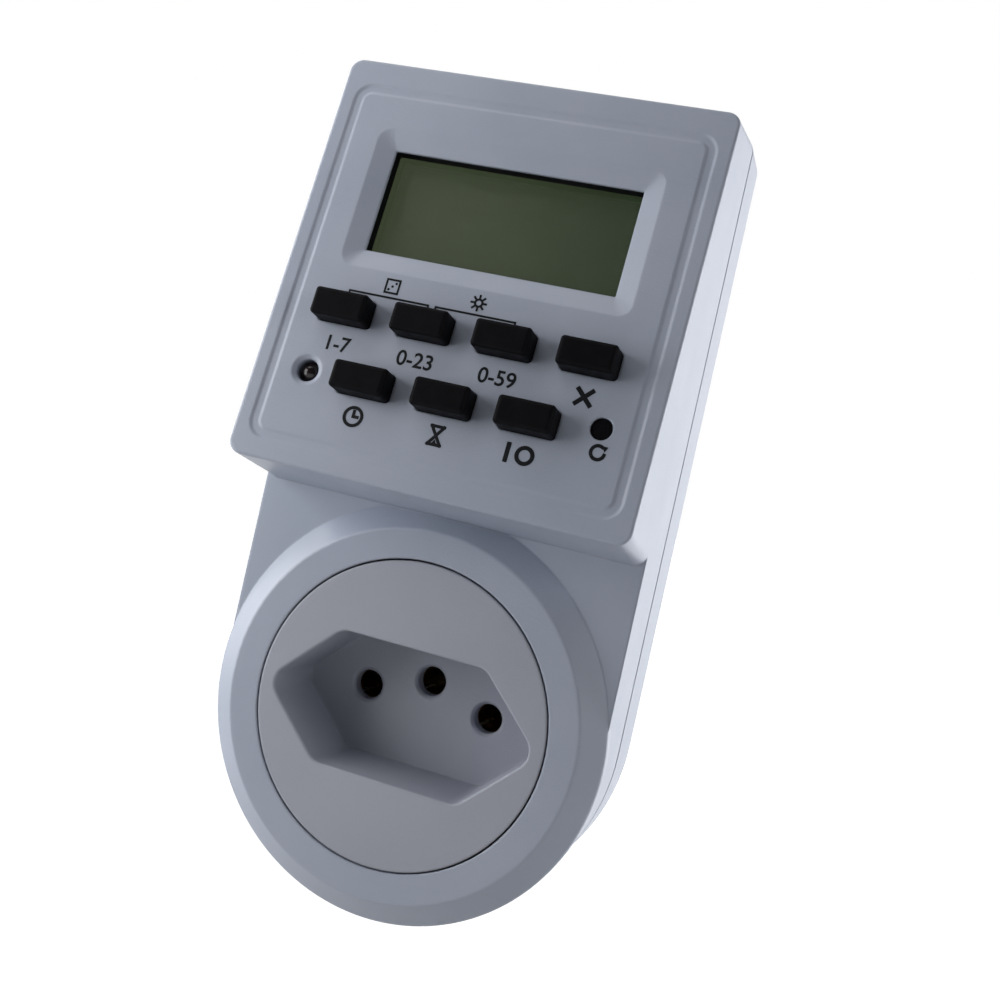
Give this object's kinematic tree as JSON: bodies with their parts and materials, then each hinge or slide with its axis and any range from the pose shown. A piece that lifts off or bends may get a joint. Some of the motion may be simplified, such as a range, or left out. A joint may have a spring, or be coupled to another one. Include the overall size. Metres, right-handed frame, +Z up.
{
  "type": "digital timer switch",
  "caption": "Plug-in weekly timer switch: sloped control head with display and keys above a recessed earthed outlet, pin plug at the back",
  "frame": {"origin": "on the plug's engagement face, on the shared axis of plug and outlet", "axes": "+Z up along the body, +X to the right seen from the front, +Y out of the plug's face into the wall"},
  "size_m": [0.0584, 0.0669, 0.119],
  "materials": {
    "case_plastic": "light blue-grey moulded ABS with a fine spark texture",
    "insert_plastic": "light blue-grey flame-retardant polycarbonate, fine texture",
    "white_insulator": "white moulded insulator",
    "contact_brass": "stamped brass",
    "spring_steel": "bright spring steel",
    "nickelled_pin": "nickel-plated brass",
    "pin_sleeve_plastic": "black insulating sleeve",
    "key_plastic": "black moulded plastic",
    "clear_window": "clear acrylic",
    "display_glass": "grey-green reflective liquid crystal panel",
    "silicone_mat": "grey silicone rubber",
    "carbon_rubber": "conductive carbon rubber",
    "lamp_resin": "dark tinted epoxy",
    "board_laminate": "paper laminate board",
    "chip_resin": "black resin",
    "battery_steel": "bright steel cell",
    "screw_steel": "zinc-plated steel",
    "relay_plastic": "blue moulded plastic",
    "capacitor_plastic": "yellow box plastic",
    "capacitor_can": "sleeved aluminium can",
    "varistor_coating": "blue epoxy coating",
    "resistor_coating": "beige coating"
  },
  "bodies": {
    "timer_body": {"front_housing": "case_plastic", "rear_housing": "case_plastic", "socket_insert": "insert_plastic", "contact_carrier": "white_insulator", "line_contact": "contact_brass", "neutral_contact": "contact_brass", "earth_contact": "contact_brass", "contact_clips": "spring_steel", "line_pin": "nickelled_pin", "neutral_pin": "nickelled_pin", "earth_pin": "nickelled_pin", "pin_sleeves": "pin_sleeve_plastic", "line_in_busbar": "contact_brass", "line_out_busbar": "contact_brass", "neutral_busbar": "contact_brass", "earth_busbar": "contact_brass", "display_bezel": "key_plastic", "display_window": "clear_window", "display_glass": "display_glass", "contact_strips": "silicone_mat", "keypad_mat": "silicone_mat", "carbon_pills": "carbon_rubber", "status_led": "lamp_resin", "logic_board": "board_laminate", "controller_chip": "chip_resin", "clock_crystal": "spring_steel", "backup_battery": "battery_steel", "logic_passives": "chip_resin", "board_screws": "screw_steel", "power_board": "board_laminate", "power_screws": "screw_steel", "header_pins": "contact_brass", "relay": "relay_plastic", "film_capacitor": "capacitor_plastic", "electrolytic_capacitors": "capacitor_can", "varistor": "varistor_coating", "rectifier_diodes": "chip_resin", "resistors": "resistor_coating", "fusible_resistor": "resistor_coating", "driver_transistor": "chip_resin", "housing_screws": "screw_steel"},
    "key_week_body": {"key_week": "key_plastic"},
    "key_hour_body": {"key_hour": "key_plastic"},
    "key_minute_body": {"key_minute": "key_plastic"},
    "key_clear_body": {"key_clear": "key_plastic"},
    "key_clock_body": {"key_clock": "key_plastic"},
    "key_timer_body": {"key_timer": "key_plastic"},
    "key_mode_body": {"key_mode": "key_plastic"},
    "reset_button_body": {"reset_button": "key_plastic"}
  },
  "joints": [
    {"name": "key_week_press", "type": "slide", "parent": "timer_body", "child": "key_week_body", "axis": [0, 0.9806, -0.1961], "range_m": [0, 0.0009], "stiffness_N_per_m": 1200},
    {"name": "key_hour_press", "type": "slide", "parent": "timer_body", "child": "key_hour_body", "axis": [0, 0.9806, -0.1961], "range_m": [0, 0.0009], "stiffness_N_per_m": 1200},
    {"name": "key_minute_press", "type": "slide", "parent": "timer_body", "child": "key_minute_body", "axis": [0, 0.9806, -0.1961], "range_m": [0, 0.0009], "stiffness_N_per_m": 1200},
    {"name": "key_clear_press", "type": "slide", "parent": "timer_body", "child": "key_clear_body", "axis": [0, 0.9806, -0.1961], "range_m": [0, 0.0009], "stiffness_N_per_m": 1200},
    {"name": "key_clock_press", "type": "slide", "parent": "timer_body", "child": "key_clock_body", "axis": [0, 0.9806, -0.1961], "range_m": [0, 0.0009], "stiffness_N_per_m": 1200},
    {"name": "key_timer_press", "type": "slide", "parent": "timer_body", "child": "key_timer_body", "axis": [0, 0.9806, -0.1961], "range_m": [0, 0.0009], "stiffness_N_per_m": 1200},
    {"name": "key_mode_press", "type": "slide", "parent": "timer_body", "child": "key_mode_body", "axis": [0, 0.9806, -0.1961], "range_m": [0, 0.0009], "stiffness_N_per_m": 1200},
    {"name": "reset_button_press", "type": "slide", "parent": "timer_body", "child": "reset_button_body", "axis": [0, 0.9806, -0.1961], "range_m": [0, 0.0009], "stiffness_N_per_m": 1200}
  ]
}
